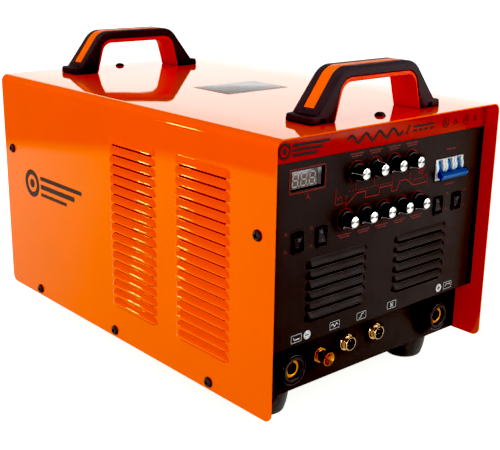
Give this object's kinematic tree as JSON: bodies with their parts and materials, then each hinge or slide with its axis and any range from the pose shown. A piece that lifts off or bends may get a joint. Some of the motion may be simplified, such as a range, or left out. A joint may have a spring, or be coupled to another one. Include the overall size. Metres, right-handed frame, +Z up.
{
  "type": "tig welding machine",
  "caption": "Louvred steel cabinet on rubber feet with a control front of knobs, rocker switches and a breaker, a row of output sockets below, and lifting handles on top.",
  "frame": {"origin": "on the floor, under the middle of the bounding box", "axes": "+Z up; the control front faces -Y; +X is to the right for someone facing the controls"},
  "size_m": [0.3696, 0.56, 0.3868],
  "materials": {
    "cover_paint": "gloss",
    "chassis_black": "satin",
    "panel_black": "satin",
    "header_red": "satin",
    "chassis_steel": "satin",
    "display": "gloss",
    "circuit_board": "satin",
    "breaker_white": "satin",
    "breaker_blue": "gloss",
    "socket_black": "satin",
    "brass": "machined",
    "plug_metal": "polished",
    "fan_black": "satin",
    "guard_steel": "polished",
    "heatsink": "extruded",
    "ferrite": "matt",
    "winding": "enamelled",
    "valve": "machined",
    "gland_black": "satin",
    "handle_black": "satin",
    "handle_orange": "satin",
    "rubber": "matt",
    "knob_black": "gloss",
    "switch_black": "gloss"
  },
  "bodies": {
    "machine": {"cover": "cover_paint", "base_tray": "chassis_black", "front_panel": "panel_black", "header_plate": "header_red", "socket_panel": "panel_black", "rear_panel": "panel_black", "ammeter": "display", "control_board": "circuit_board", "power_board": "circuit_board", "deck_plate": "chassis_steel", "breaker_body": "breaker_white", "output_negative_housing": "socket_black", "output_positive_housing": "socket_black", "output_negative_insert": "brass", "output_positive_insert": "brass", "gas_outlet": "brass", "gas_inlet": "brass", "torch_socket": "plug_metal", "remote_socket": "plug_metal", "fan_frame": "fan_black", "fan_guard": "guard_steel", "heatsink_inverter": "heatsink", "heatsink_rectifier": "heatsink", "main_transformer_core": "ferrite", "main_transformer_winding": "winding", "output_reactor_core": "ferrite", "output_reactor_winding": "winding", "hf_coil": "winding", "gas_valve": "valve", "cable_gland": "gland_black", "front_handle_body": "handle_black", "front_handle_strip": "handle_orange", "front_handle_grip": "handle_orange", "rear_handle_body": "handle_black", "rear_handle_strip": "handle_orange", "rear_handle_grip": "handle_orange", "foot_front_left": "rubber", "foot_front_right": "rubber", "foot_rear_left": "rubber", "foot_rear_right": "rubber", "switch_left_outer_housing": "switch_black", "switch_left_inner_housing": "switch_black", "switch_right_inner_housing": "switch_black", "switch_right_outer_housing": "switch_black"},
    "knob_upslope": {"knob_upslope": "knob_black"},
    "knob_peak_current": {"knob_peak_current": "knob_black"},
    "knob_base_current": {"knob_base_current": "knob_black"},
    "knob_downslope": {"knob_downslope": "knob_black"},
    "knob_start_current": {"knob_start_current": "knob_black"},
    "knob_pulse_width": {"knob_pulse_width": "knob_black"},
    "knob_pulse_frequency": {"knob_pulse_frequency": "knob_black"},
    "knob_ac_balance": {"knob_ac_balance": "knob_black"},
    "knob_post_flow": {"knob_post_flow": "knob_black"},
    "switch_left_outer_rocker": {"switch_left_outer_rocker": "switch_black"},
    "switch_left_inner_rocker": {"switch_left_inner_rocker": "switch_black"},
    "switch_right_inner_rocker": {"switch_right_inner_rocker": "switch_black"},
    "switch_right_outer_rocker": {"switch_right_outer_rocker": "switch_black"},
    "breaker_toggle": {"breaker_toggle": "breaker_blue"},
    "fan_rotor": {"fan_rotor": "fan_black"}
  },
  "joints": [
    {"name": "knob_upslope_turn", "type": "hinge", "parent": "machine", "child": "knob_upslope", "pos_m": [-0.0468, -0.262, 0.277], "axis": [0, 1, 0], "range_deg": [-60, 240]},
    {"name": "knob_peak_current_turn", "type": "hinge", "parent": "machine", "child": "knob_peak_current", "pos_m": [-0.0168, -0.262, 0.277], "axis": [0, 1, 0], "range_deg": [-150, 150]},
    {"name": "knob_base_current_turn", "type": "hinge", "parent": "machine", "child": "knob_base_current", "pos_m": [0.0137, -0.262, 0.277], "axis": [0, 1, 0], "range_deg": [0, 300]},
    {"name": "knob_downslope_turn", "type": "hinge", "parent": "machine", "child": "knob_downslope", "pos_m": [0.0437, -0.262, 0.277], "axis": [0, 1, 0], "range_deg": [0, 300]},
    {"name": "knob_start_current_turn", "type": "hinge", "parent": "machine", "child": "knob_start_current", "pos_m": [-0.0613, -0.262, 0.2265], "axis": [0, 1, 0], "range_deg": [0, 300]},
    {"name": "knob_pulse_width_turn", "type": "hinge", "parent": "machine", "child": "knob_pulse_width", "pos_m": [-0.0308, -0.262, 0.2265], "axis": [0, 1, 0], "range_deg": [0, 300]},
    {"name": "knob_pulse_frequency_turn", "type": "hinge", "parent": "machine", "child": "knob_pulse_frequency", "pos_m": [-0.0008, -0.262, 0.2265], "axis": [0, 1, 0], "range_deg": [0, 300]},
    {"name": "knob_ac_balance_turn", "type": "hinge", "parent": "machine", "child": "knob_ac_balance", "pos_m": [0.0292, -0.262, 0.2265], "axis": [0, 1, 0], "range_deg": [0, 300]},
    {"name": "knob_post_flow_turn", "type": "hinge", "parent": "machine", "child": "knob_post_flow", "pos_m": [0.0592, -0.262, 0.2265], "axis": [0, 1, 0], "range_deg": [0, 300]},
    {"name": "switch_left_outer_tilt", "type": "hinge", "parent": "machine", "child": "switch_left_outer_rocker", "pos_m": [-0.1308, -0.257, 0.214], "axis": [1, 0, 0], "range_deg": [-24, 0]},
    {"name": "switch_left_inner_tilt", "type": "hinge", "parent": "machine", "child": "switch_left_inner_rocker", "pos_m": [-0.0963, -0.257, 0.214], "axis": [1, 0, 0], "range_deg": [0, 24]},
    {"name": "switch_right_inner_tilt", "type": "hinge", "parent": "machine", "child": "switch_right_inner_rocker", "pos_m": [0.0987, -0.257, 0.214], "axis": [1, 0, 0], "range_deg": [0, 24]},
    {"name": "switch_right_outer_tilt", "type": "hinge", "parent": "machine", "child": "switch_right_outer_rocker", "pos_m": [0.1337, -0.257, 0.214], "axis": [1, 0, 0], "range_deg": [-24, 0]},
    {"name": "breaker_toggle_swing", "type": "hinge", "parent": "machine", "child": "breaker_toggle", "pos_m": [0.1152, -0.253, 0.2605], "axis": [-1, 0, 0], "range_deg": [0, 64]},
    {"name": "fan_spin", "type": "hinge", "parent": "machine", "child": "fan_rotor", "pos_m": [0, 0.23, 0.112], "axis": [0, 1, 0], "continuous": true}
  ]
}
